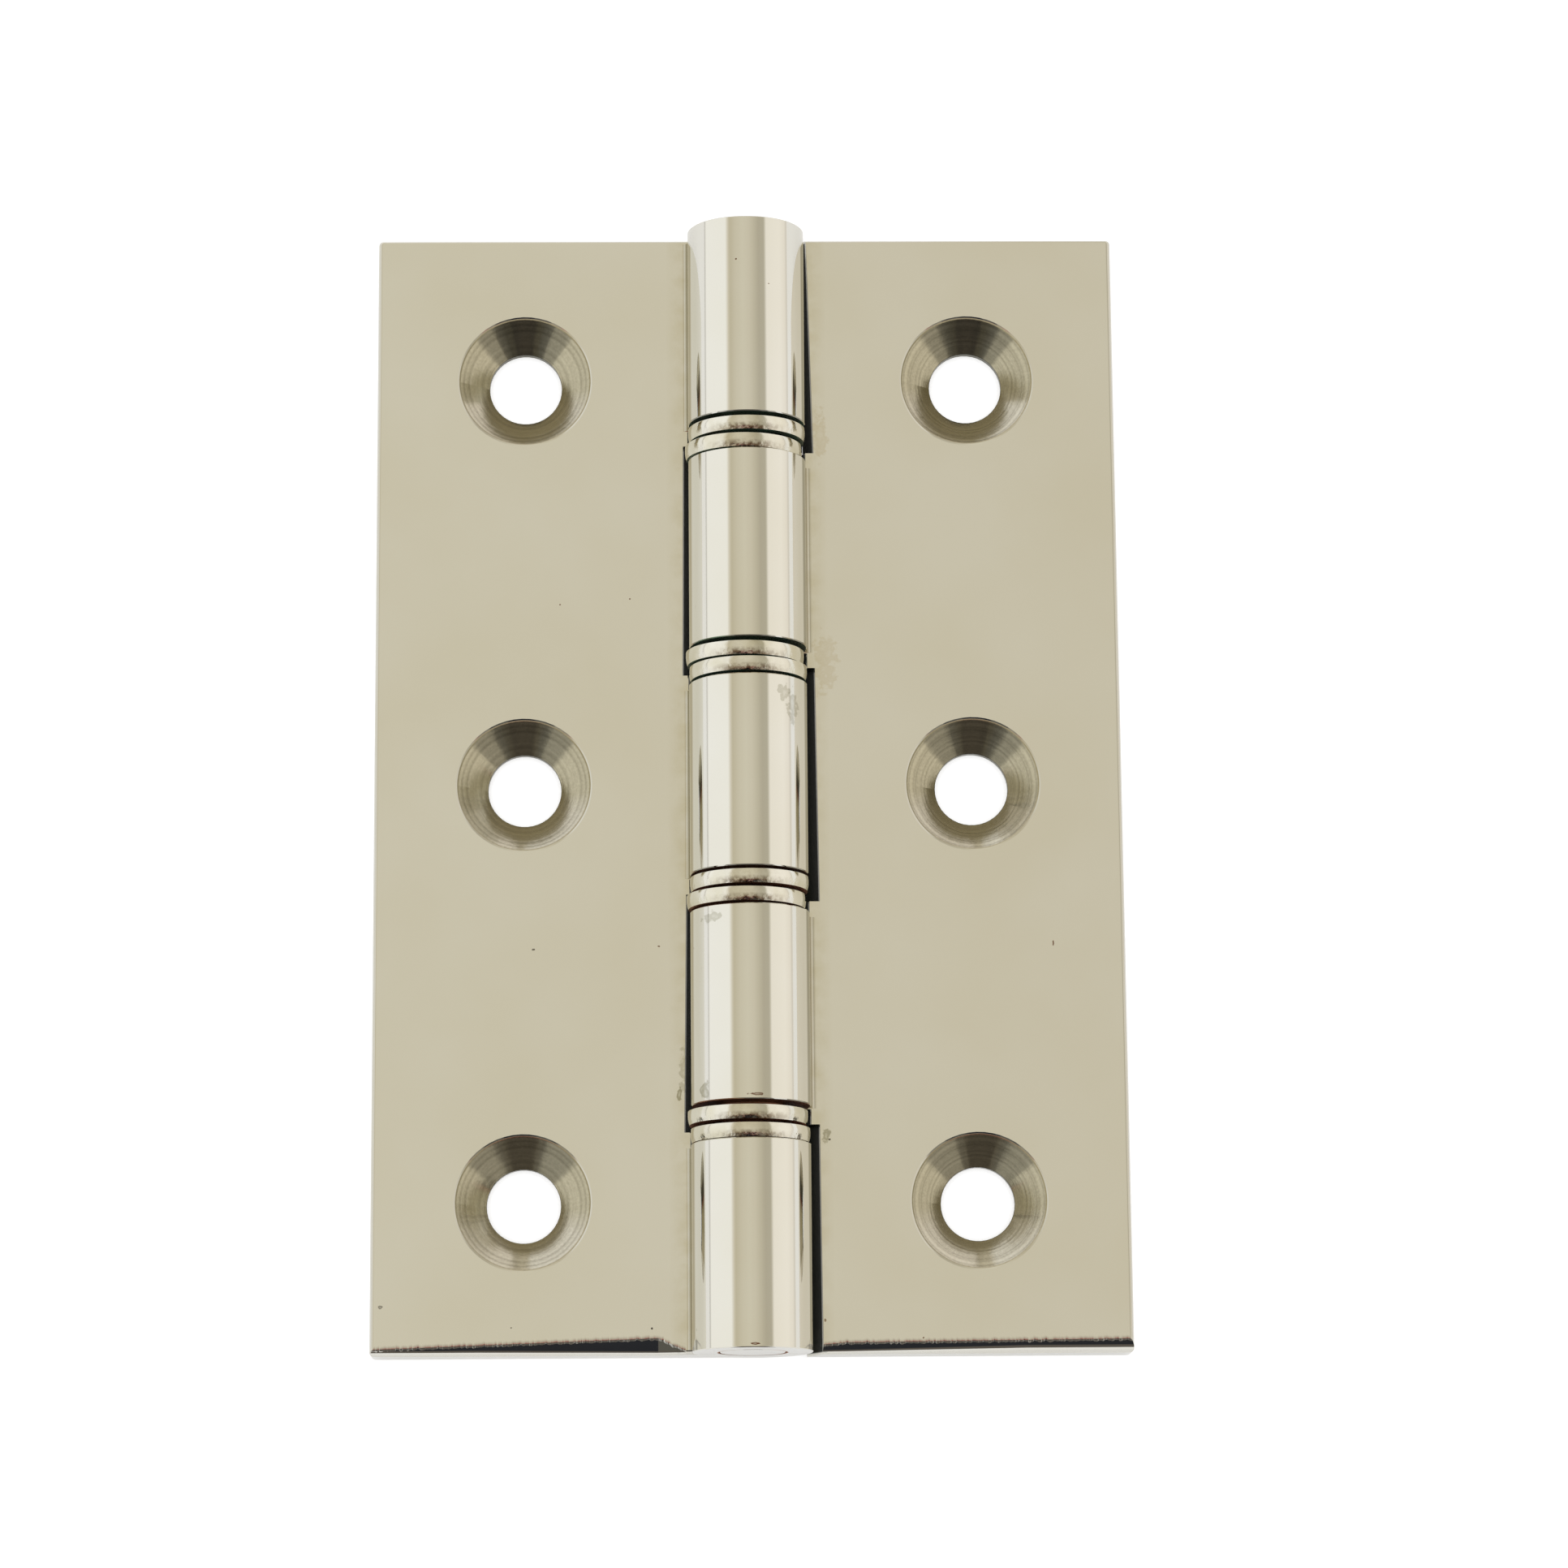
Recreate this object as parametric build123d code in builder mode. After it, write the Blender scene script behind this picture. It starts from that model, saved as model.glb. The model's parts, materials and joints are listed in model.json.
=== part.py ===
from build123d import *
from math import cos, radians, sin, sqrt, tan
import os

# Washered butt hinge, open flat and lying on its back, in millimetres.
# The pin lies along Y, the leaves spread along X and the countersunk faces look up along Z.
# The origin is the middle of the pin.

# Leaves
leaf_length = 76.0
open_width = 50.0
leaf_thickness = 2.5
edge_round = 0.3

# Shallow bevel that polishing has left along each leaf's bottom end. The widths are at the
# barrel, a short way from it, and at the leaf's outer edge.
bevel_slope = 23.0
bevel_run_in = 1.8
left_bevel_widths = (0.3, 1.1, 0.45)
right_bevel_widths = (0.6, 0.75, 0.9)

# Barrel, cut into five knuckles with a joint between each two
barrel_diameter = 7.9
end_knuckle_length = 13.6
joint_play = 0.6
crease_radius = 0.5
knuckle_break = 0.06
root_overhang = 1.0

# Pin, tight in the left leaf's knuckles and running in the right leaf's
pin_diameter = 4.5
pin_running_clearance = 0.05
pin_end_break = 0.15

# Washers, a loose pair at each joint
washer_thickness = 0.95
washer_diameter = 7.9
washer_break = 0.06
washer_bore_clearance = 0.27
washer_side_clearance = 0.03

# Hollows in a leaf's inner edge, where the other leaf's knuckles turn, from the top down: the
# clearance halfway along each, and the degrees that it leans outwards on its way down. The lip
# under the barrel is what stops the leaves from folding far backwards.
left_hollows = ((0.63, 0.3), (0.59, 0.65))
right_hollows = ((0.64, 1.45), (0.87, 0.65), (0.88, 0.4))
lip_reach = 3.5

# Screw holes, in a line on each leaf
hole_count = 3
hole_pitch = 28.0
hole_inset = 10.0
hole_diameter = 4.9
countersink_diameter = 8.9
countersink_angle = 90.0
countersink_break = 0.1

# How each pair of washers has come to rest, from the top joint down: the shares of the joint's
# play that lie above and between the two, and how far each has slipped sideways on the pin,
# as a share of its clearance there.
washer_rest = [
    {"above": 0.50, "between": 0.42, "slips": (0.0, -0.8)},
    {"above": 0.50, "between": 0.18, "slips": (-0.8, 0.0)},
    {"above": 0.36, "between": 0.38, "slips": (0.0, -0.8)},
    {"above": 0.56, "between": 0.38, "slips": (-0.8, -0.15)},
]

# Sizes that follow
barrel_radius = barrel_diameter / 2
back_height = -barrel_radius
face_height = back_height + leaf_thickness
leaf_end = leaf_length / 2
leaf_edge = open_width / 2
joint_count = len(washer_rest)
joint_length = 2 * washer_thickness + joint_play
inner_knuckle_length = (
    leaf_length - 2 * end_knuckle_length - joint_count * joint_length
) / (joint_count - 1)

# The crease between face and barrel is a small arc that touches both.
crease_height = face_height + crease_radius
crease_x = sqrt((barrel_radius + crease_radius) ** 2 - crease_height**2)
crease_top = crease_height * barrel_radius / (barrel_radius + crease_radius)


def knuckle_spans():
    """The top and bottom of each knuckle along Y, from the top of the barrel down."""
    spans = []
    top = leaf_end
    for index in range(joint_count + 1):
        at_end = index in (0, joint_count)
        length = end_knuckle_length if at_end else inner_knuckle_length
        spans.append((top, top - length))
        top = top - length - joint_length
    return spans


def hollow_spans(own_knuckles):
    """The stretches of a leaf's inner edge that its own roots leave free."""
    tops = [leaf_end] + [bottom - root_overhang for top, bottom in own_knuckles]
    bottoms = [top + root_overhang for top, bottom in own_knuckles] + [-leaf_end]
    return [(top, bottom) for top, bottom in zip(tops, bottoms) if top > bottom]


def overhang_spans(own_knuckles):
    """The stretches where a root runs on past its knuckle, beside a washer."""
    spans = []
    for top, bottom in own_knuckles:
        if top < leaf_end:
            spans.append((top + root_overhang, top))
        if bottom > -leaf_end:
            spans.append((bottom, bottom - root_overhang))
    return spans


def make_leaf(side, own_knuckles, bore_diameter, hollows, bevel_widths):
    """One leaf with its knuckles: side is -1 for the left leaf and 1 for the right one."""
    bevel_fall = tan(radians(bevel_slope))
    bevel_stations = (crease_x, crease_x + bevel_run_in, leaf_edge)
    with BuildPart() as leaf:
        # Flat plate with its outer arrises polished round
        with BuildSketch(Plane.XY.offset(back_height)):
            with Locations((side * leaf_edge / 2, 0)):
                Rectangle(leaf_edge, leaf_length)
        extrude(amount=leaf_thickness)
        inner_face = leaf.faces().sort_by(lambda face: abs(face.center().X))[0]
        fillet(leaf.edges() - inner_face.edges(), edge_round)

        # Bevel along the bottom end
        for station, width in zip(bevel_stations, bevel_widths):
            with BuildSketch(Plane.YZ.offset(side * station)):
                with Locations((width - leaf_end, face_height)):
                    Polygon(
                        (-width - edge_round, -(width + edge_round) * bevel_fall),
                        (edge_round, edge_round * bevel_fall),
                        (-width - edge_round, edge_round * bevel_fall),
                        align=None,
                    )
        loft(ruled=True, mode=Mode.SUBTRACT)

        # Countersunk screw holes
        with Locations(Plane.XY.offset(face_height)):
            with Locations((side * (leaf_edge - hole_inset), 0)):
                with GridLocations(hole_pitch, hole_pitch, 1, hole_count):
                    CounterSinkHole(
                        hole_diameter / 2,
                        countersink_diameter / 2,
                        counter_sink_angle=countersink_angle,
                    )
        face = leaf.faces().sort_by(Axis.Z)[-1]
        chamfer(face.edges().filter_by(GeomType.CIRCLE), countersink_break)

        # Knuckles with lightly broken ends
        with BuildSketch(Plane.XY) as half_knuckles:
            for top, bottom in own_knuckles:
                with Locations((barrel_radius / 2, (top + bottom) / 2)):
                    Rectangle(barrel_radius, top - bottom)
            chamfer(half_knuckles.vertices().group_by(Axis.X)[-1], knuckle_break)
        revolve(axis=Axis.Y)

        # Crease where each knuckle rises out of the face, short of both their broken edges
        crease_foot = (back_height + face_height) / 2
        for top, bottom in own_knuckles:
            crease_start = min(top - knuckle_break, leaf_end - edge_round)
            crease_stop = max(bottom + knuckle_break, edge_round - leaf_end)
            with BuildSketch(Plane.XZ.offset(-crease_start)):
                with Locations((side * crease_x / 2, (crease_foot + crease_top) / 2)):
                    Rectangle(crease_x, crease_top - crease_foot)
                with Locations((side * crease_x, crease_height)):
                    Circle(crease_radius, mode=Mode.SUBTRACT)
            extrude(amount=crease_start - crease_stop)

        # Hollows that clear the other leaf's knuckles, with a lip left under the barrel
        for (top, bottom), (clearance, lean_degrees) in zip(hollow_spans(own_knuckles), hollows):
            lean = radians(lean_degrees)
            with BuildSketch(Plane.XZ.offset(-top)):
                with Locations((-side * tan(lean) * (top - bottom) / 2, 0)):
                    Circle(barrel_radius + clearance)
                Rectangle(2 * lip_reach, barrel_diameter)
            extrude(
                amount=(top - bottom) / cos(lean),
                dir=(side * sin(lean), -cos(lean), 0),
                mode=Mode.SUBTRACT,
            )

        # Closer hollows beside the washers
        for top, bottom in overhang_spans(own_knuckles):
            with BuildSketch(Plane.XZ.offset(-top)):
                Circle(washer_diameter / 2 + washer_bore_clearance + washer_side_clearance)
                Rectangle(2 * lip_reach, barrel_diameter)
            extrude(amount=top - bottom, mode=Mode.SUBTRACT)

        # Bore for the pin
        with BuildSketch(Plane.XZ):
            Circle(bore_diameter / 2)
        extrude(amount=leaf_length, both=True, mode=Mode.SUBTRACT)
    return leaf


knuckles = knuckle_spans()
os.makedirs("parts", exist_ok=True)

left_leaf = make_leaf(-1, knuckles[0::2], pin_diameter, left_hollows, left_bevel_widths)
left_leaf.part.label = "left_leaf"
export_step(left_leaf.part, "parts/left_leaf.step")

running_bore = pin_diameter + 2 * pin_running_clearance
right_leaf = make_leaf(1, knuckles[1::2], running_bore, right_hollows, right_bevel_widths)
right_leaf.part.label = "right_leaf"
export_step(right_leaf.part, "parts/right_leaf.step")

# Pin, flush with both ends of the barrel
with BuildPart() as hinge_pin:
    with BuildSketch(Plane.XZ):
        Circle(pin_diameter / 2)
    extrude(amount=leaf_end, both=True)
    chamfer(hinge_pin.edges().filter_by(GeomType.CIRCLE), pin_end_break)
hinge_pin.part.label = "hinge_pin"
export_step(hinge_pin.part, "parts/hinge_pin.step")


def make_washer(top, slip):
    """One washer on the pin: top is its upper side along Y, slip its sideways shift along X."""
    with BuildPart() as washer:
        with BuildSketch(Plane.XZ.offset(-top)):
            with Locations((slip, 0)):
                Circle(washer_diameter / 2)
                Circle(pin_diameter / 2 + washer_bore_clearance, mode=Mode.SUBTRACT)
        extrude(amount=washer_thickness)
        chamfer(washer.edges().filter_by(GeomType.CIRCLE).group_by(SortBy.RADIUS)[-1], washer_break)
    return washer


for number, rest in enumerate(washer_rest, start=1):
    joint_top = knuckles[number - 1][1]
    upper_top = joint_top - rest["above"] * joint_play
    lower_top = upper_top - washer_thickness - rest["between"] * joint_play
    upper_slip, lower_slip = [share * washer_bore_clearance for share in rest["slips"]]

    upper_washer = make_washer(upper_top, upper_slip)
    upper_washer.part.label = f"washer_{number}_upper"
    export_step(upper_washer.part, f"parts/washer_{number}_upper.step")

    lower_washer = make_washer(lower_top, lower_slip)
    lower_washer.part.label = f"washer_{number}_lower"
    export_step(lower_washer.part, f"parts/washer_{number}_lower.step")
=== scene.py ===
import json
from math import cos, pi, radians, sin, tan

import bpy
from mathutils import Matrix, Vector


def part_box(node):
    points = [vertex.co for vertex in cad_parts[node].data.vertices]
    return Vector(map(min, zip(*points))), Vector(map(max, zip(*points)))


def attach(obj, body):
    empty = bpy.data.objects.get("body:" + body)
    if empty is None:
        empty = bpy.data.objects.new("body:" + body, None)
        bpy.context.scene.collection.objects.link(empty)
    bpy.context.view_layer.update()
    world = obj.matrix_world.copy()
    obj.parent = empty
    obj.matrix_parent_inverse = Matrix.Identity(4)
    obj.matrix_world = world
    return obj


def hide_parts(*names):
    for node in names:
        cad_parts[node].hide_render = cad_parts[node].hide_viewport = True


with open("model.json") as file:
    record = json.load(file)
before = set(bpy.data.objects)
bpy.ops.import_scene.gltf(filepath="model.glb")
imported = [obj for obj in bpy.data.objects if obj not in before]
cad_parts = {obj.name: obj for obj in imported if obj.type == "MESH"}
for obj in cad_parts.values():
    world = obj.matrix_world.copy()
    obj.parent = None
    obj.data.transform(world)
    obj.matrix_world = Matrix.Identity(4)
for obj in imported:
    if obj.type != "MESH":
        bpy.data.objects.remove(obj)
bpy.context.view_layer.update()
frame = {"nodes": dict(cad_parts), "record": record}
nodes = frame["nodes"]

MM = 0.001

# Sizes of the hinge that its finish follows, in metres
LEAF_THICKNESS = 2.5 * MM
HOLE_INSET = 10.0 * MM
HOLE_PITCH = 28.0 * MM
HOLE_RADIUS = 2.45 * MM
COUNTERSINK_RADIUS = 4.45 * MM
LEAF_LOW, LEAF_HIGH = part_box("left_leaf")
PIN_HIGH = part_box("hinge_pin")[1]
BACK_HEIGHT = LEAF_LOW.z
FACE_HEIGHT = BACK_HEIGHT + LEAF_THICKNESS
LEAF_END = LEAF_HIGH.y
LEAF_EDGE = -LEAF_LOW.x
HOLE_X = LEAF_EDGE - HOLE_INSET
BARREL_RADIUS = LEAF_HIGH.z
PIN_RADIUS = PIN_HIGH.x

# Bevel along the bottom end: its slope, and its width at the barrel, near it and at the outer edge
BEVEL_SLOPE = radians(23.0)
BEVEL_STATIONS = (4.35 * MM, 6.15 * MM, LEAF_EDGE)
LEFT_BEVEL_WIDTHS = (0.3 * MM, 1.1 * MM, 0.45 * MM)
RIGHT_BEVEL_WIDTHS = (0.6 * MM, 0.75 * MM, 0.9 * MM)


def linear(hex_colour):
    """A linear RGBA colour from an sRGB hex value."""
    channels = [int(hex_colour[i : i + 2], 16) / 255 for i in (1, 3, 5)]
    return [c / 12.92 if c <= 0.04045 else ((c + 0.055) / 1.055) ** 2.4 for c in channels] + [1.0]


def add(tree, kind, inputs=None, stops=(), **settings):
    """Adds a node. Inputs gives its sockets a value, or the socket or node that feeds them, and
    stops gives a colour ramp its (position, hex) pairs, from 0 to 1."""
    node = tree.nodes.new(kind)
    for name, value in settings.items():
        setattr(node, name, value)
    for key, value in (inputs or {}).items():
        if isinstance(value, bpy.types.Node):
            value = next(output for output in value.outputs if output.enabled)
        if isinstance(value, bpy.types.NodeSocket):
            tree.links.new(value, node.inputs[key])
        else:
            node.inputs[key].default_value = value
    for position, colour in stops:
        if position in (0.0, 1.0):
            node.color_ramp.elements[-int(position)].color = linear(colour)
        else:
            node.color_ramp.elements.new(position).color = linear(colour)
    return node


def start_material(name):
    """A new material and its node tree, still empty."""
    material = bpy.data.materials.new(name)
    material.use_nodes = True
    material.node_tree.nodes.clear()
    return material, material.node_tree


# Camera at the photograph's viewing angle: a long lens, above and a little beyond the bottom end
camera_data = bpy.data.cameras.new("camera")
camera_data.sensor_width = 36.0
camera_data.lens = 112.57
camera_data.clip_start = 0.01
camera = bpy.data.objects.new("camera", camera_data)
camera.location = (-4.406 * MM, -66.194 * MM, 319.480 * MM)
camera.rotation_euler = (radians(11.6634), radians(-1.1128), radians(-0.4659))
scene = bpy.context.scene
scene.collection.objects.link(camera)
scene.camera = camera
scene.view_settings.view_transform = "Standard"

# Studio as the polished metal sees it: a cream card overhead, a white panel on each side and a
# grey line at the table's edge, by degrees across from straight up.
CARD_STOPS = [
    (-180, "#8d8b86"),
    (-95, "#ecebe7"),
    (-92, "#d3d2ce"),
    (-89, "#cccbc8"),
    (-86, "#fefefc"),
    (-41, "#fefefb"),
    (-36, "#dfd9ca"),
    (-32, "#ccc5b0"),
    (-20, "#d7d1bf"),
    (-6, "#dcd7c6"),
    (6, "#d8d2c1"),
    (16, "#ccc6b4"),
    (25, "#beb8a7"),
    (36, "#bfbaaa"),
    (41, "#f9f5ed"),
    (70, "#fdf9f2"),
    (84, "#f5f0e8"),
    (88, "#dcd7d0"),
    (92, "#fffef8"),
    (180, "#8d8b86"),
]
# Beyond the card towards the camera: its shaded edge, a red strip and the dark room, by the
# southward part of the direction
ROOM_STOPS = [
    (0.0, "#d8d2c0"),
    (0.12, "#cbc4b4"),
    (0.2, "#b5ac9e"),
    (0.27, "#a98f84"),
    (0.31, "#a85a52"),
    (0.35, "#2b2d34"),
    (0.8, "#292a2e"),
    (0.88, "#5a5551"),
    (1.0, "#67625c"),
]
# The room widens between these two upward parts of the direction
ROOM_LOW = 0.353
ROOM_HIGH = 0.469
STUDIO_STRENGTH = 1.16

world = bpy.data.worlds.new("studio")
scene.world = world
world.use_nodes = True
tree = world.node_tree
tree.nodes.clear()
direction = add(tree, "ShaderNodeTexCoord").outputs["Generated"]
east, north, up = add(tree, "ShaderNodeSeparateXYZ", {0: direction}).outputs
across = add(tree, "ShaderNodeMath", {0: east, 1: up}, operation="ARCTAN2")
across = add(tree, "ShaderNodeMapRange", {0: across, 1: -pi, 2: pi, 3: 0.0, 4: 1.0})
cards = add(
    tree,
    "ShaderNodeValToRGB",
    {0: across},
    stops=[((angle + 180) / 360, colour) for angle, colour in CARD_STOPS],
)
south = add(tree, "ShaderNodeMath", {0: north, 1: -1.0}, operation="MULTIPLY")
room = add(tree, "ShaderNodeValToRGB", {0: south}, stops=ROOM_STOPS)
# The room opens upwards from 27 to 40 degrees on either side of the camera, darkest in its middle,
# and half-lit side walls carry it on to 60 degrees
aside = add(tree, "ShaderNodeMath", {0: east}, operation="ABSOLUTE")
azimuth = add(tree, "ShaderNodeMath", {0: aside, 1: south}, operation="ARCTAN2")
room_middle = add(
    tree, "ShaderNodeMapRange", {0: azimuth, 1: radians(15), 2: radians(18), 3: 1.0, 4: 0.86}
)
opening = add(
    tree,
    "ShaderNodeMapRange",
    {0: up, 1: ROOM_LOW, 2: ROOM_HIGH, 3: radians(27), 4: radians(40)},
)
past_edge = add(tree, "ShaderNodeMath", {0: azimuth, 1: opening}, operation="SUBTRACT")
room_edge = add(
    tree, "ShaderNodeMapRange", {0: past_edge, 1: radians(-2), 2: radians(2), 3: 1.0, 4: 0.0}
)
side_wall = add(
    tree, "ShaderNodeMapRange", {0: azimuth, 1: radians(58), 2: radians(62), 3: 0.5, 4: 0.0}
)
room_share = add(tree, "ShaderNodeMath", {0: room_middle, 1: room_edge}, operation="MULTIPLY")
room_share = add(tree, "ShaderNodeMath", {0: room_share, 1: side_wall}, operation="MAXIMUM")
studio = add(tree, "ShaderNodeMix", {0: room_share, 6: cards, 7: room}, data_type="RGBA")
reflected = add(tree, "ShaderNodeBackground", {"Color": studio, "Strength": STUDIO_STRENGTH})
plain = add(tree, "ShaderNodeBackground", {"Color": linear("#ffffff"), "Strength": 1.0})
glossy = add(tree, "ShaderNodeLightPath").outputs["Is Glossy Ray"]
seen = add(tree, "ShaderNodeMixShader", {0: glossy, 1: plain, 2: reflected})
add(tree, "ShaderNodeOutputWorld", {0: seen})

# Floor: a white sheet that the hinge lies on, with its shadow, and a hair below it so that the
# two surfaces don't flicker
FLOOR_SIZE = 3.0
FLOOR_GAP = 0.01 * MM
bpy.ops.object.select_all(action="DESELECT")
bpy.ops.mesh.primitive_plane_add(size=FLOOR_SIZE, location=(0, 0, BACK_HEIGHT - FLOOR_GAP))
floor = bpy.context.object
floor.name = "floor"
paper, tree = start_material("white_paper")
in_view = add(tree, "ShaderNodeLightPath").outputs["Is Camera Ray"]
glow = add(tree, "ShaderNodeMapRange", {0: in_view, 1: 0.0, 2: 1.0, 3: 0.25, 4: 0.5})
emission = add(tree, "ShaderNodeEmission", {"Color": linear("#ffffff"), "Strength": glow})
diffuse = add(tree, "ShaderNodeBsdfDiffuse", {"Color": linear("#e8e8e8")})
sheet = add(tree, "ShaderNodeAddShader", {0: diffuse, 1: emission})
add(tree, "ShaderNodeOutputMaterial", {0: sheet})
floor.data.materials.append(paper)

# Marks on the plate: x and y in mm, half width, half height, strength and colour
OLIVE = "#7b7757"
BROWN = "#6f4a33"
UMBER = "#352a20"
YELLOW = "#b09a66"
LEFT_MARKS = [
    (-4.3, -19.3, 0.4, 1.5, 0.35, OLIVE),
    (-4.7, -20.9, 0.2, 0.4, 0.7, OLIVE),
    (-0.7, 34.96, 0.08, 0.08, 1.0, BROWN),
    (1.5, 33.3, 0.08, 0.08, 1.0, BROWN),
    (0.1, -37.75, 0.4, 0.08, 1.0, BROWN),
    (2.3, 5.3, 0.45, 0.5, 0.35, OLIVE),
    (2.9, 4.3, 0.4, 1.1, 0.35, OLIVE),
    (-15.73, -36.16, 0.09, 0.07, 1.0, UMBER),
    (-12.61, 12.4, 0.06, 0.06, 0.9, BROWN),
    (-7.92, 12.78, 0.06, 0.06, 0.9, BROWN),
    (-6.02, -10.95, 0.09, 0.06, 0.9, BROWN),
    (-14.36, -11.13, 0.09, 0.06, 0.9, UMBER),
    (-17.34, -30.9, 0.07, 0.07, 0.9, UMBER),
    (-6.57, -36.27, 0.08, 0.08, 1.0, UMBER),
    (-24.3, -34.8, 0.15, 0.15, 0.6, UMBER),
]
RIGHT_MARKS = [
    (5.0, 24.3, 0.5, 1.7, 0.22, YELLOW),
    (5.2, 8.4, 0.8, 2.0, 0.2, YELLOW),
    (4.95, -23.7, 0.3, 0.55, 0.6, OLIVE),
    (5.2, -23.9, 0.12, 0.12, 0.9, UMBER),
    (-2.5, -9.75, 0.6, 0.35, 0.35, OLIVE),
    (-3.05, -21.2, 0.35, 0.5, 0.5, OLIVE),
    (0.3, -21.6, 0.5, 0.1, 0.9, BROWN),
    (20.19, -10.86, 0.07, 0.2, 0.9, BROWN),
    (4.78, -35.81, 0.07, 0.12, 0.9, BROWN),
    (11.19, -36.97, 0.07, 0.07, 0.9, BROWN),
]


def measure(tree):
    """Where a surface lies: its place, its distances from the hinge's middle and from the pin's
    axis, and how squarely it faces along the pin and sideways."""
    coordinates = add(tree, "ShaderNodeTexCoord")
    place = coordinates.outputs["Object"]
    x, y, z = add(tree, "ShaderNodeSeparateXYZ", {0: place}).outputs
    facing = add(tree, "ShaderNodeSeparateXYZ", {0: coordinates.outputs["Normal"]})
    flattened = add(tree, "ShaderNodeVectorMath", {0: place, 1: (1, 0, 1)}, operation="MULTIPLY")
    return {
        "place": place,
        "x": x,
        "y": y,
        "z": z,
        "aside": add(tree, "ShaderNodeMath", {0: x}, operation="ABSOLUTE"),
        "along": add(tree, "ShaderNodeMath", {0: y}, operation="ABSOLUTE"),
        "from_axis": add(tree, "ShaderNodeVectorMath", {0: flattened}, operation="LENGTH"),
        "endways": add(tree, "ShaderNodeMath", {0: facing.outputs["Y"]}, operation="ABSOLUTE"),
        "sideways": add(tree, "ShaderNodeMath", {0: facing.outputs["X"]}, operation="ABSOLUTE"),
    }


def plate(tree, place):
    """Nickel with faint clouds some 12 mm across and a few pin holes, 0.1 mm wide."""
    cloud = add(tree, "ShaderNodeTexNoise", {"Vector": place, "Scale": 80.0, "Detail": 3.0})
    cloud = add(tree, "ShaderNodeMapRange", {0: cloud, 1: 0.35, 2: 0.65})
    colour = add(
        tree,
        "ShaderNodeMix",
        {0: cloud, 6: linear("#dbd9d1"), 7: linear("#d8d5ca")},
        data_type="RGBA",
    )
    cells = add(tree, "ShaderNodeTexVoronoi", {"Vector": place, "Scale": 420.0})
    pit = add(tree, "ShaderNodeMapRange", {0: cells, 1: 0.03, 2: 0.012})
    chance = add(tree, "ShaderNodeSeparateColor", {0: cells.outputs["Color"]})
    chosen = add(tree, "ShaderNodeMath", {0: chance, 1: 0.93}, operation="GREATER_THAN")
    pit = add(tree, "ShaderNodeMath", {0: pit, 1: chosen}, operation="MULTIPLY")
    return add(tree, "ShaderNodeMix", {0: pit, 6: colour, 7: linear("#7a6e5a")}, data_type="RGBA")


def mark(tree, where, colour, marks):
    """Adds marks of handling and dried lacquer: ragged, and darkest where their rims dried."""
    ragged = add(
        tree, "ShaderNodeTexNoise", {"Vector": where["place"], "Scale": 2400.0, "Detail": 4.0}
    )
    front = add(
        tree,
        "ShaderNodeMapRange",
        {0: where["z"], 1: BACK_HEIGHT + 1.0 * MM, 2: BACK_HEIGHT + 1.5 * MM},
    )
    for mark_x, mark_y, half_width, half_height, strength, hue in marks:
        centred = add(
            tree,
            "ShaderNodeMapping",
            {
                "Vector": where["place"],
                "Location": (-mark_x / half_width, -mark_y / half_height, 0.0),
                "Scale": (1 / (half_width * MM), 1 / (half_height * MM), 0.0),
            },
        )
        reach = add(tree, "ShaderNodeVectorMath", {0: centred}, operation="LENGTH")
        torn = add(
            tree, "ShaderNodeMath", {0: ragged, 1: 2.6, 2: reach}, operation="MULTIPLY_ADD"
        )
        inside = add(tree, "ShaderNodeMapRange", {0: torn, 1: 2.3, 2: 2.0, 3: 0.0, 4: strength})
        rim = add(tree, "ShaderNodeMapRange", {0: torn, 1: 1.3, 2: 1.8, 3: 0.5, 4: 1.0})
        stain = add(tree, "ShaderNodeMath", {0: inside, 1: rim}, operation="MULTIPLY")
        stain = add(tree, "ShaderNodeMath", {0: stain, 1: front}, operation="MULTIPLY")
        colour = add(
            tree, "ShaderNodeMix", {0: stain, 6: colour, 7: linear(hue)}, data_type="RGBA"
        )
    return colour


def grease(tree, where, colour, share):
    """Adds dried grease: green-black in the upper joints and browner in the lower ones."""
    patches = add(tree, "ShaderNodeTexNoise", {"Vector": where["place"], "Scale": 700.0})
    patches = add(tree, "ShaderNodeMapRange", {0: patches, 1: 0.42, 2: 0.6})
    lower = add(tree, "ShaderNodeMapRange", {0: where["y"], 1: 2.0 * MM, 2: -8.0 * MM})
    green = add(
        tree,
        "ShaderNodeMix",
        {0: patches, 6: linear("#78907f"), 7: linear("#7c8470")},
        data_type="RGBA",
    )
    brown = add(
        tree,
        "ShaderNodeMix",
        {0: patches, 6: linear("#8a6652"), 7: linear("#a2745a")},
        data_type="RGBA",
    )
    film = add(tree, "ShaderNodeMix", {0: lower, 6: green, 7: brown}, data_type="RGBA")
    return add(tree, "ShaderNodeMix", {0: share, 6: colour, 7: film}, data_type="RGBA")


def buff(tree, place):
    """The faint waves of a buffed face, some 4 mm long and a micrometre high."""
    waves = add(tree, "ShaderNodeTexNoise", {"Vector": place, "Scale": 260.0, "Detail": 1.0})
    return add(tree, "ShaderNodeBump", {"Height": waves, "Distance": 0.0012 * MM})


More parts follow.
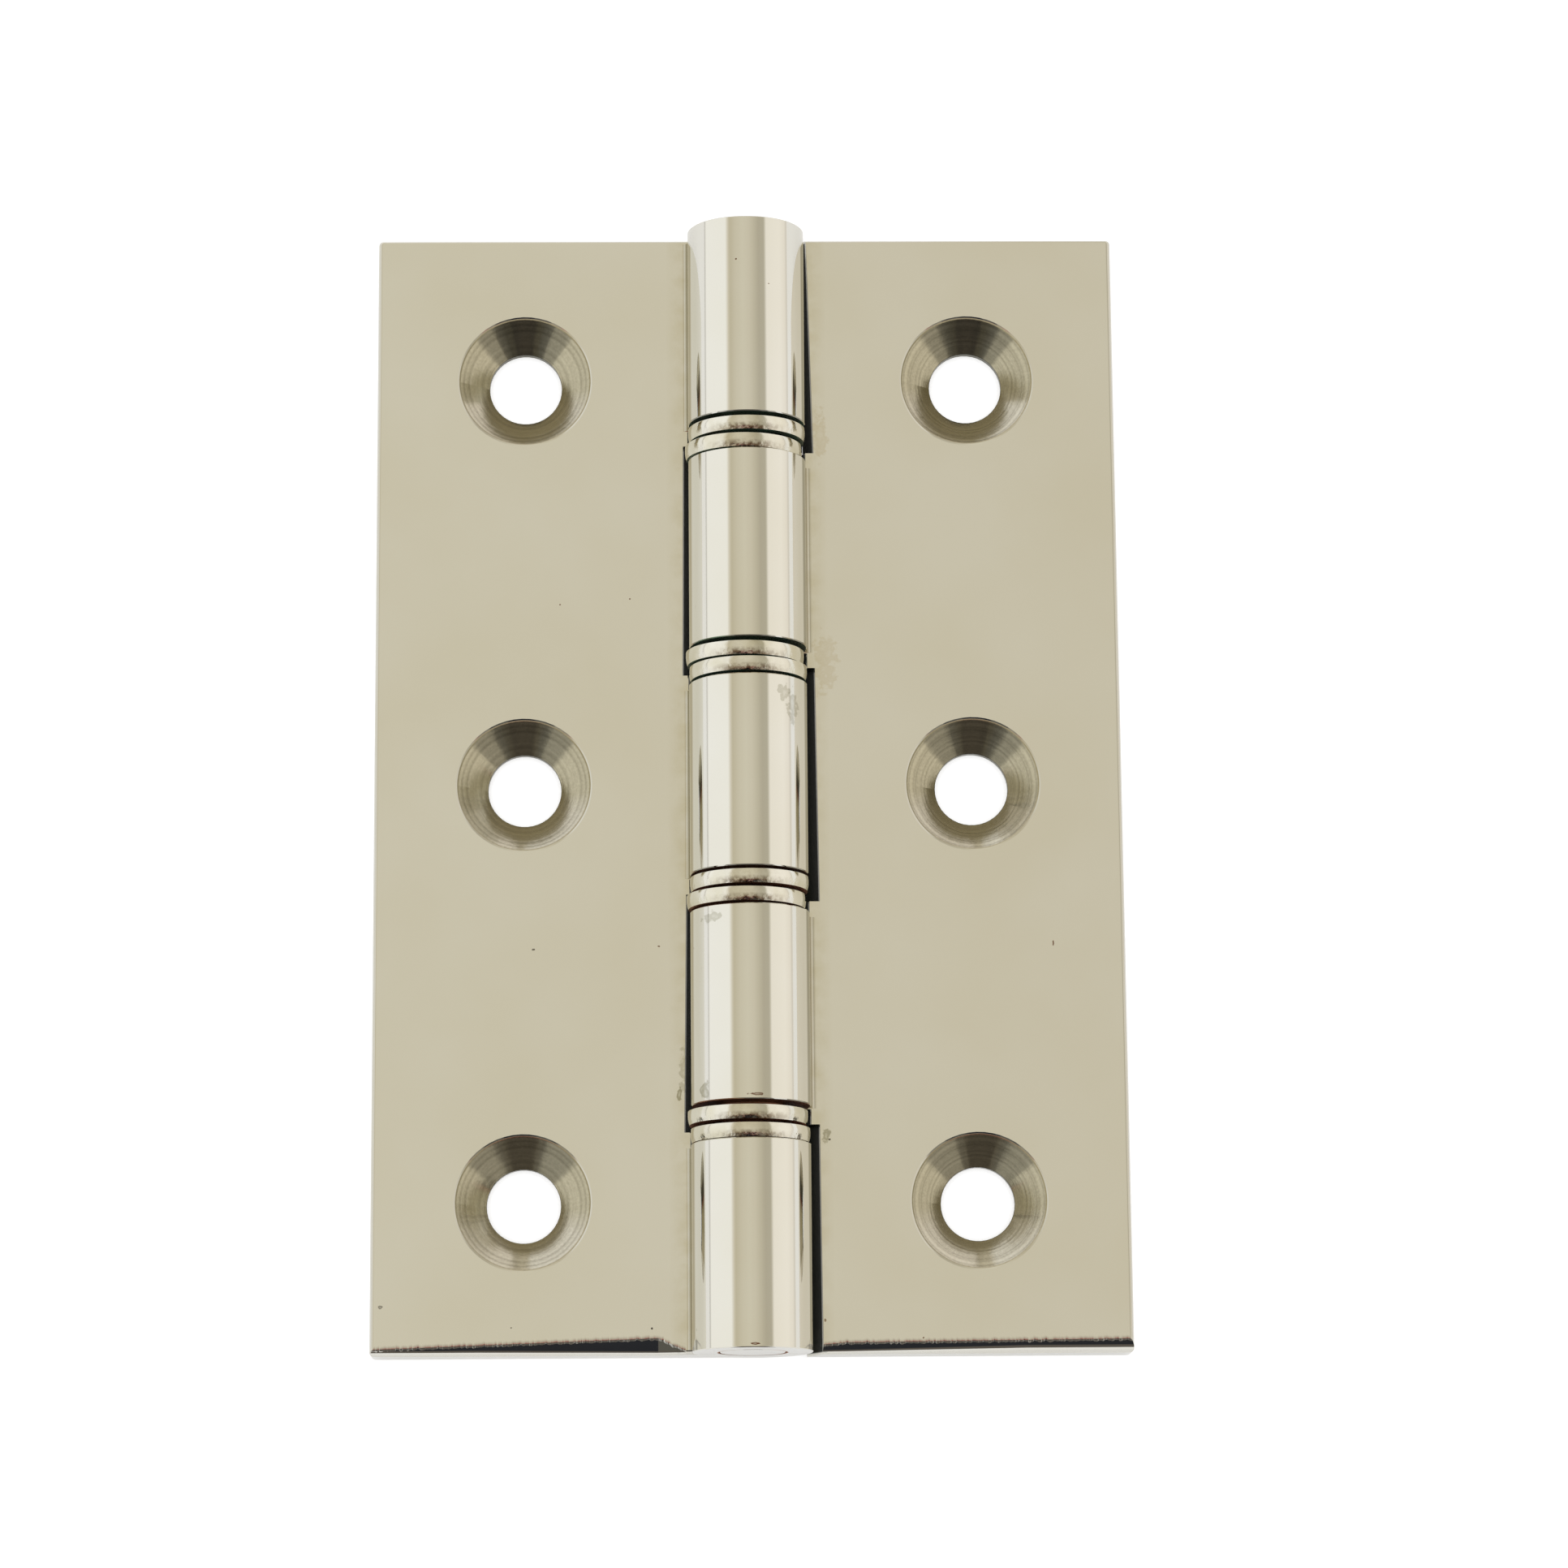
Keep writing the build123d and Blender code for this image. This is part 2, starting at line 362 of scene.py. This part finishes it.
def round_bevel(tree, where, widths, normal):
    """Rounds over both edges of the bottom bevel as a buffing mop does, raggedly at the top."""
    outer = add(
        tree,
        "ShaderNodeMapRange",
        {0: where["aside"], 1: BEVEL_STATIONS[1], 2: BEVEL_STATIONS[2], 3: widths[1], 4: widths[2]},
    )
    narrowing = add(
        tree,
        "ShaderNodeMapRange",
        {
            0: where["aside"],
            1: BEVEL_STATIONS[0],
            2: BEVEL_STATIONS[1],
            3: widths[1] - widths[0],
            4: 0.0,
        },
    )
    width = add(tree, "ShaderNodeMath", {0: outer, 1: narrowing}, operation="SUBTRACT")
    on_leaf = add(
        tree,
        "ShaderNodeMapRange",
        {0: where["z"], 1: FACE_HEIGHT + 0.5 * MM, 2: FACE_HEIGHT + 0.2 * MM},
    )
    from_end = add(tree, "ShaderNodeMath", {0: where["y"], 1: LEAF_END}, operation="ADD")
    above = add(tree, "ShaderNodeMath", {0: from_end, 1: width}, operation="SUBTRACT")
    # The mop drags streaks some 0.3 mm apart over the upper edge
    streak_place = add(tree, "ShaderNodeCombineXYZ", {0: where["x"]})
    streaks = add(
        tree, "ShaderNodeTexNoise", {"Vector": streak_place, "Scale": 3000.0, "Detail": 3.0}
    )
    drag = add(
        tree,
        "ShaderNodeMapRange",
        {0: streaks, 1: 0.3, 2: 0.7, 3: -0.09 * MM, 4: 0.09 * MM},
    )
    above = add(tree, "ShaderNodeMath", {0: above, 1: drag}, operation="SUBTRACT")
    reach = 0.3 * MM
    turn = add(tree, "ShaderNodeMapRange", {0: above, 1: -0.4 * reach, 2: reach, 3: 1.4, 4: 0.0})
    turn = add(tree, "ShaderNodeMath", {0: turn, 1: 2.0}, operation="POWER")
    turn = add(tree, "ShaderNodeMath", {0: turn, 1: on_leaf}, operation="MULTIPLY")
    normal = add(
        tree,
        "ShaderNodeBump",
        {"Height": turn, "Distance": reach * tan(BEVEL_SLOPE) / 4, "Normal": normal},
        invert=True,
    )
    # The lower edge is rounded further up, the farther it is from the barrel
    lip_slope = 0.6
    outer_reach = 0.24 * MM + 0.4 * widths[2]
    lip_reach = add(
        tree,
        "ShaderNodeMapRange",
        {0: where["aside"], 1: 5.0 * MM, 2: 18.0 * MM, 3: 0.3 * MM, 4: outer_reach},
    )
    lip = add(tree, "ShaderNodeMapRange", {0: from_end, 1: 0.0, 2: lip_reach, 3: 1.0, 4: 0.0})
    lip = add(tree, "ShaderNodeMath", {0: lip, 1: 2.0}, operation="POWER")
    lip = add(tree, "ShaderNodeMath", {0: lip, 1: lip_reach}, operation="MULTIPLY")
    lip = add(tree, "ShaderNodeMath", {0: lip, 1: on_leaf}, operation="MULTIPLY")
    return add(
        tree,
        "ShaderNodeBump",
        {"Height": lip, "Distance": lip_slope, "Normal": normal},
        invert=True,
    )


def soil_and_shade_crease(tree, where, colour):
    """Adds a yellow-olive tint beside the barrel that shades off over the face, part polishing soap
    and part painted shade, and a darker olive on the crease itself, painted shade with some
    tarnish, and gives back the crease's share too."""
    soap_and_shade = add(
        tree, "ShaderNodeTexNoise", {"Vector": where["place"], "Scale": 900.0, "Detail": 4.0}
    )
    soap_and_shade = add(tree, "ShaderNodeMapRange", {0: soap_and_shade, 1: 0.35, 2: 0.75, 3: 0.25, 4: 1.0})
    near = add(
        tree,
        "ShaderNodeMapRange",
        {
            0: where["aside"],
            1: BARREL_RADIUS + 1.5 * MM,
            2: BARREL_RADIUS + 0.3 * MM,
            3: 0.0,
            4: 0.4,
        },
    )
    on_face = add(
        tree, "ShaderNodeMapRange", {0: where["z"], 1: FACE_HEIGHT - 0.1 * MM, 2: FACE_HEIGHT}
    )
    below_barrel = add(
        tree,
        "ShaderNodeMapRange",
        {0: where["z"], 1: FACE_HEIGHT + 0.8 * MM, 2: FACE_HEIGHT + 0.6 * MM},
    )
    foot = add(tree, "ShaderNodeMath", {0: on_face, 1: below_barrel}, operation="MULTIPLY")
    soap_and_shade = add(tree, "ShaderNodeMath", {0: soap_and_shade, 1: near}, operation="MULTIPLY")
    soap_and_shade = add(tree, "ShaderNodeMath", {0: soap_and_shade, 1: foot}, operation="MULTIPLY")
    # Painted shade beside the barrel, mixed with the polishing soap's yellow-olive tint
    colour = add(
        tree, "ShaderNodeMix", {0: soap_and_shade, 6: colour, 7: linear("#b3a676")}, data_type="RGBA"
    )
    leaning = add(tree, "ShaderNodeMapRange", {0: where["sideways"], 1: 0.15, 2: 0.75})
    crease = add(tree, "ShaderNodeMath", {0: leaning, 1: foot}, operation="MULTIPLY")
    # The crease is painted a darker olive: painted shade, with some tarnish
    colour = add(
        tree, "ShaderNodeMix", {0: crease, 6: colour, 7: linear("#857c5f")}, data_type="RGBA"
    )
    return colour, crease


def turn_countersinks(tree, where, hole_x, colour, normal):
    """Adds the countersinks as the tool left them, with fine rings some 0.15 mm apart and chatter,
    and gives back their share too."""
    row = add(tree, "ShaderNodeMath", {0: where["y"], 1: HOLE_PITCH / 2}, operation="ADD")
    row = add(tree, "ShaderNodeMath", {0: row, 1: HOLE_PITCH, 2: 0.0}, operation="WRAP")
    hole_y = add(tree, "ShaderNodeMath", {0: row, 1: HOLE_PITCH / 2}, operation="SUBTRACT")
    off_centre = add(tree, "ShaderNodeMath", {0: where["x"], 1: hole_x}, operation="SUBTRACT")
    hole_place = add(tree, "ShaderNodeCombineXYZ", {0: off_centre, 1: hole_y})
    from_hole = add(tree, "ShaderNodeVectorMath", {0: hole_place}, operation="LENGTH")
    in_hole = add(
        tree,
        "ShaderNodeMapRange",
        {0: from_hole, 1: COUNTERSINK_RADIUS + 0.02 * MM, 2: COUNTERSINK_RADIUS - 0.02 * MM},
    )
    above_back = add(
        tree, "ShaderNodeMapRange", {0: where["z"], 1: BACK_HEIGHT, 2: BACK_HEIGHT + 0.05 * MM}
    )
    in_hole = add(tree, "ShaderNodeMath", {0: in_hole, 1: above_back}, operation="MULTIPLY")
    ring_place = add(tree, "ShaderNodeCombineXYZ", {0: from_hole, 1: hole_x})
    rings = add(
        tree, "ShaderNodeTexNoise", {"Vector": ring_place, "Scale": 6500.0, "Detail": 3.0}
    )
    chatter = add(
        tree, "ShaderNodeTexNoise", {"Vector": where["place"], "Scale": 6000.0, "Detail": 2.0}
    )
    cut = add(tree, "ShaderNodeMath", {0: chatter, 1: 0.4, 2: rings}, operation="MULTIPLY_ADD")
    cut_height = add(tree, "ShaderNodeMath", {0: cut, 1: in_hole}, operation="MULTIPLY")
    normal = add(
        tree,
        "ShaderNodeBump",
        {"Height": cut_height, "Distance": 0.003 * MM, "Normal": normal},
    )
    # The tool cut each cone some 7 degrees flatter than its nominal 45
    flattening = 0.174
    cone_radius = add(
        tree, "ShaderNodeMath", {0: from_hole, 1: COUNTERSINK_RADIUS}, operation="MINIMUM"
    )
    normal = add(
        tree,
        "ShaderNodeBump",
        {"Height": cone_radius, "Distance": flattening, "Normal": normal},
        invert=True,
    )
    # The half nearer the bottom end is painted lighter, a painted light on that side of each cone,
    # and the drilled hole below the cone is painted dark as painted shade
    bearing = add(tree, "ShaderNodeMath", {0: hole_y, 1: from_hole}, operation="DIVIDE")
    painted_light_half = add(tree, "ShaderNodeMapRange", {0: bearing, 1: -0.1, 2: -0.5})
    cut_colour = add(
        tree,
        "ShaderNodeMix",
        {0: painted_light_half, 6: linear("#b5ae96"), 7: linear("#cac4b4")},
        data_type="RGBA",
    )
    cut_shade = add(tree, "ShaderNodeMapRange", {0: cut, 1: 0.5, 2: 0.9, 3: 0.45, 4: 0.0})
    cut_colour = add(
        tree,
        "ShaderNodeMix",
        {0: cut_shade, 6: cut_colour, 7: linear("#5f5843")},
        data_type="RGBA",
    )
    # Painted shade: the drilled hole's wall is painted dark
    drilled = add(
        tree, "ShaderNodeMapRange", {0: from_hole, 1: HOLE_RADIUS + 0.03 * MM, 2: HOLE_RADIUS}
    )
    cut_colour = add(
        tree,
        "ShaderNodeMix",
        {0: drilled, 6: cut_colour, 7: linear("#5e5a48")},
        data_type="RGBA",
    )
    colour = add(tree, "ShaderNodeMix", {0: in_hole, 6: colour, 7: cut_colour}, data_type="RGBA")
    return colour, normal, in_hole


def grease_and_shade_joints(tree, where, colour):
    """Adds grease on the knuckles' ends and round the pin's end, and a near-black painted shade in
    the hollows under the other barrel, and gives back their share too."""
    squarely = add(tree, "ShaderNodeMapRange", {0: where["endways"], 1: 0.8, 2: 0.92})
    within = add(
        tree,
        "ShaderNodeMapRange",
        {0: where["from_axis"], 1: BARREL_RADIUS, 2: BARREL_RADIUS - 0.05 * MM},
    )
    between_ends = add(
        tree,
        "ShaderNodeMapRange",
        {0: where["along"], 1: LEAF_END - 0.1 * MM, 2: LEAF_END - 0.2 * MM},
    )
    joint_face = add(tree, "ShaderNodeMath", {0: squarely, 1: within}, operation="MULTIPLY")
    past_barrel = add(
        tree,
        "ShaderNodeMapRange",
        {0: where["from_axis"], 1: BARREL_RADIUS + 0.1 * MM, 2: BARREL_RADIUS + 0.2 * MM},
    )
    near_barrel = add(
        tree,
        "ShaderNodeMapRange",
        {0: where["from_axis"], 1: BARREL_RADIUS + 1.3 * MM, 2: BARREL_RADIUS + 1.1 * MM},
    )
    below_face = add(
        tree,
        "ShaderNodeMapRange",
        {0: where["z"], 1: FACE_HEIGHT - 0.1 * MM, 2: FACE_HEIGHT - 0.25 * MM},
    )
    bore_rim = add(
        tree,
        "ShaderNodeMapRange",
        {0: where["from_axis"], 1: PIN_RADIUS + 0.1 * MM, 2: PIN_RADIUS + 0.05 * MM},
    )
    filmed = add(
        tree,
        "ShaderNodeMix",
        {0: between_ends, 2: bore_rim, 3: joint_face},
        data_type="FLOAT",
    )
    colour = grease(tree, where, colour, filmed)
    # Painted shade: the hollows under the other barrel are painted near black
    painted_hollow_shade = add(tree, "ShaderNodeMath", {0: past_barrel, 1: near_barrel}, operation="MULTIPLY")
    painted_hollow_shade = add(tree, "ShaderNodeMath", {0: painted_hollow_shade, 1: below_face}, operation="MULTIPLY")
    painted_hollow_shade = add(tree, "ShaderNodeMath", {0: painted_hollow_shade, 1: between_ends}, operation="MULTIPLY")
    colour = add(
        tree, "ShaderNodeMix", {0: painted_hollow_shade, 6: colour, 7: linear("#191a0e")}, data_type="RGBA"
    )
    # The rough share takes in both the grease and the painted-shade hollows
    greasy = add(tree, "ShaderNodeMath", {0: filmed, 1: painted_hollow_shade}, operation="MAXIMUM")
    return colour, greasy


def polished_leaf(name, hole_x, bevel_widths, marks):
    """Nickel plate on drawn brass, buffed to a mirror, with turned countersinks."""
    material, tree = start_material(name)
    where = measure(tree)
    colour = mark(tree, where, plate(tree, where["place"]), marks)
    normal = round_bevel(tree, where, bevel_widths, buff(tree, where["place"]))
    colour, crease = soil_and_shade_crease(tree, where, colour)
    colour, normal, in_hole = turn_countersinks(tree, where, hole_x, colour, normal)
    colour, greasy = grease_and_shade_joints(tree, where, colour)
    dull = add(tree, "ShaderNodeMath", {0: in_hole, 1: 0.09, 2: 0.055}, operation="MULTIPLY_ADD")
    dull = add(tree, "ShaderNodeMath", {0: crease, 1: 0.2, 2: dull}, operation="MULTIPLY_ADD")
    dull = add(tree, "ShaderNodeMath", {0: greasy, 1: 0.4, 2: dull}, operation="MULTIPLY_ADD")
    metal = add(
        tree,
        "ShaderNodeBsdfPrincipled",
        {"Base Color": colour, "Metallic": 1.0, "Roughness": dull, "Normal": normal},
    )
    add(tree, "ShaderNodeOutputMaterial", {0: metal})
    return material


def polished_pin(name):
    """The pin's nickel: bright at its two ends, and greasy where the joints show it."""
    material, tree = start_material(name)
    where = measure(tree)
    inside = add(
        tree,
        "ShaderNodeMapRange",
        {0: where["along"], 1: LEAF_END - 0.1 * MM, 2: LEAF_END - 0.2 * MM},
    )
    rim = add(
        tree,
        "ShaderNodeMapRange",
        {0: where["from_axis"], 1: PIN_RADIUS - 0.08 * MM, 2: PIN_RADIUS - 0.03 * MM},
    )
    greasy = add(tree, "ShaderNodeMath", {0: inside, 1: rim}, operation="MAXIMUM")
    colour = grease(tree, where, plate(tree, where["place"]), greasy)
    normal = buff(tree, where["place"])
    dull = add(tree, "ShaderNodeMath", {0: greasy, 1: 0.4, 2: 0.08}, operation="MULTIPLY_ADD")
    metal = add(
        tree,
        "ShaderNodeBsdfPrincipled",
        {"Base Color": colour, "Metallic": 1.0, "Roughness": dull, "Normal": normal},
    )
    add(tree, "ShaderNodeOutputMaterial", {0: metal})
    return material


def tumbled_washer(name, washer_y):
    """Nickel plate on stamped brass washers, tumbled and not buffed: mirror-like but dimpled. The
    dimples are some 0.3 mm across, deepest on the rim's rolled half, with brown specks in them."""
    material, tree = start_material(name)
    where = measure(tree)
    place = where["place"]
    cloud = add(tree, "ShaderNodeTexNoise", {"Vector": place, "Scale": 500.0, "Detail": 3.0})
    cloud = add(tree, "ShaderNodeMapRange", {0: cloud, 1: 0.4, 2: 0.7})
    colour = add(
        tree,
        "ShaderNodeMix",
        {0: cloud, 6: linear("#e0ddd2"), 7: linear("#d2cdb9")},
        data_type="RGBA",
    )
    dimples = add(tree, "ShaderNodeTexNoise", {"Vector": place, "Scale": 3200.0, "Detail": 4.0})
    down = add(tree, "ShaderNodeMath", {0: washer_y, 1: where["y"]}, operation="SUBTRACT")
    rolled = add(
        tree, "ShaderNodeMapRange", {0: down, 1: -0.05 * MM, 2: 0.25 * MM, 3: 0.12, 4: 1.0}
    )
    middle = add(tree, "ShaderNodeMapRange", {0: where["aside"], 1: 2.8 * MM, 2: 0.9 * MM})
    smear = add(tree, "ShaderNodeMath", {0: rolled, 1: middle}, operation="MULTIPLY")
    specks = add(tree, "ShaderNodeMapRange", {0: dimples, 1: 0.4, 2: 0.58, 3: 0.3, 4: 0.95})
    specks = add(tree, "ShaderNodeMath", {0: specks, 1: smear}, operation="MULTIPLY")
    colour = add(
        tree, "ShaderNodeMix", {0: specks, 6: colour, 7: linear("#75634f")}, data_type="RGBA"
    )
    greasy = add(tree, "ShaderNodeMapRange", {0: where["endways"], 1: 0.85, 2: 0.97})
    colour = grease(tree, where, colour, greasy)
    dimples = add(tree, "ShaderNodeMath", {0: dimples, 1: rolled}, operation="MULTIPLY")
    normal = add(tree, "ShaderNodeBump", {"Height": dimples, "Distance": 0.03 * MM})
    dull = add(tree, "ShaderNodeMath", {0: greasy, 1: 0.4, 2: 0.09}, operation="MULTIPLY_ADD")
    metal = add(
        tree,
        "ShaderNodeBsdfPrincipled",
        {"Base Color": colour, "Metallic": 1.0, "Roughness": dull, "Normal": normal},
    )
    add(tree, "ShaderNodeOutputMaterial", {0: metal})
    return material


def dress(node_name, material):
    """Gives a CAD node its finish."""
    data = nodes[node_name].data
    data.materials.clear()
    data.materials.append(material)


dress(
    "left_leaf",
    polished_leaf("polished_nickel_left_leaf", -HOLE_X, LEFT_BEVEL_WIDTHS, LEFT_MARKS),
)
dress(
    "right_leaf",
    polished_leaf("polished_nickel_right_leaf", HOLE_X, RIGHT_BEVEL_WIDTHS, RIGHT_MARKS),
)
dress("hinge_pin", polished_pin("polished_nickel_pin"))

# Washers, stamped: the rim keeps a square upper edge and rolls over towards its lower one
WASHER_LOW, WASHER_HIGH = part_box("washer_1_upper")
WASHER_RADIUS = (WASHER_HIGH.x - WASHER_LOW.x) / 2
WASHER_THICKNESS = WASHER_HIGH.y - WASHER_LOW.y
WASHER_CLEARANCE = 0.27 * MM
WASHER_BORE = PIN_RADIUS + WASHER_CLEARANCE
ROLL_RADIUS = 1.75 * MM
ROLL_START = 0.14 * MM
ROLL_ANGLES = (4, 8, 12, 16, 20)
RIM_BREAK = 0.05 * MM


def washer_outline():
    """The washer's section as (radius, height) pairs, from its bore round the rim and back."""
    top = WASHER_THICKNESS / 2
    outline = [
        (WASHER_BORE, top),
        (WASHER_RADIUS - RIM_BREAK, top),
        (WASHER_RADIUS - 0.3 * RIM_BREAK, top - 0.3 * RIM_BREAK),
        (WASHER_RADIUS, top - RIM_BREAK),
        (WASHER_RADIUS, ROLL_START),
    ]
    for angle in ROLL_ANGLES:
        inset = ROLL_RADIUS * (1 - cos(radians(angle)))
        outline.append((WASHER_RADIUS - inset, ROLL_START - ROLL_RADIUS * sin(radians(angle))))
    last_radius = outline[-1][0]
    outline += [
        (last_radius - 0.4 * RIM_BREAK, 0.3 * RIM_BREAK - top),
        (last_radius - 1.2 * RIM_BREAK, -top),
        (WASHER_BORE, -top),
        (WASHER_BORE, top),
    ]
    return outline


def make_washer():
    """One washer round the pin's axis, at the middle of the hinge."""
    outline = washer_outline()
    bpy.ops.object.select_all(action="DESELECT")
    bpy.ops.mesh.primitive_circle_add(
        vertices=128, radius=WASHER_BORE, location=(0, outline[0][1], 0), rotation=(pi / 2, 0, 0)
    )
    washer = bpy.context.object
    bpy.ops.object.transform_apply(location=True, rotation=True, scale=True)
    bpy.ops.object.mode_set(mode="EDIT")
    bpy.ops.mesh.select_all(action="SELECT")
    for (radius, height), (next_radius, next_height) in zip(outline, outline[1:]):
        ratio = next_radius / radius
        bpy.ops.mesh.extrude_region_move(
            TRANSFORM_OT_translate={"value": (0, next_height - height, 0)}
        )
        bpy.ops.transform.resize(value=(ratio, 1, ratio), center_override=(0, next_height, 0))
    bpy.ops.mesh.select_all(action="SELECT")
    bpy.ops.mesh.remove_doubles(threshold=0.001 * MM)
    bpy.ops.mesh.normals_make_consistent(inside=False)
    bpy.ops.object.mode_set(mode="OBJECT")
    bpy.ops.object.shade_smooth_by_angle(angle=radians(25))
    return washer


pattern = make_washer()
for body_name, members in frame["record"]["behaviour"]["bodies"].items():
    for node_name in members:
        if not node_name.startswith("washer"):
            continue
        low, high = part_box(node_name)
        centre = (low + high) / 2
        piece = pattern.copy()
        piece.data = pattern.data.copy()
        piece.data.transform(Matrix.Translation(centre))
        piece.name = f"stamped_{node_name}"
        piece.data.materials.append(tumbled_washer(f"tumbled_nickel_{node_name}", centre.y))
        scene.collection.objects.link(piece)
        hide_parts(node_name)
        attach(piece, body_name)
bpy.data.objects.remove(pattern)
